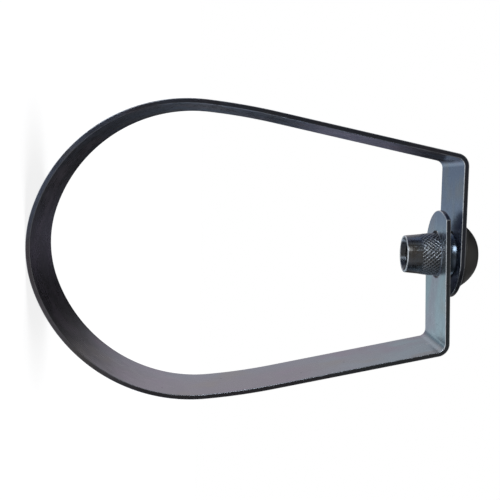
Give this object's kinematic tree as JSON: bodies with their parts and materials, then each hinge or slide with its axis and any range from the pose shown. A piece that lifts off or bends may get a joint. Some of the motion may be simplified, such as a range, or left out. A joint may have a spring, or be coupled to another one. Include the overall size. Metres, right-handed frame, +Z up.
{
  "type": "swivel loop hanger",
  "caption": "Pear-shaped steel strip loop that carries a pipe, with overlapping holed tabs and a knurled threaded nut that swivels in them.",
  "frame": {"origin": "on the nut's axis, in the upper mouth of its thread, at the very top of the part", "axes": "+Z up along the nut and its rod, as it hangs in service; Y along the pipe; X across the loop, with the outer tab's arm on the -X side"},
  "size_m": [0.0961, 0.025, 0.1465],
  "materials": {
    "zinc_plate": "zinc-plated strip, blue-grey, satin",
    "dark_zinc": "zinc-plated turned steel, darker, satin, knurled"
  },
  "bodies": {
    "swivel_nut": {"swivel_nut": "dark_zinc"},
    "band": {"band": "zinc_plate"}
  },
  "joints": [
    {"name": "ring_swivel", "type": "hinge", "parent": "swivel_nut", "child": "band", "pos_m": [0, 0, 0], "axis": [0, 0, 1], "continuous": true}
  ]
}
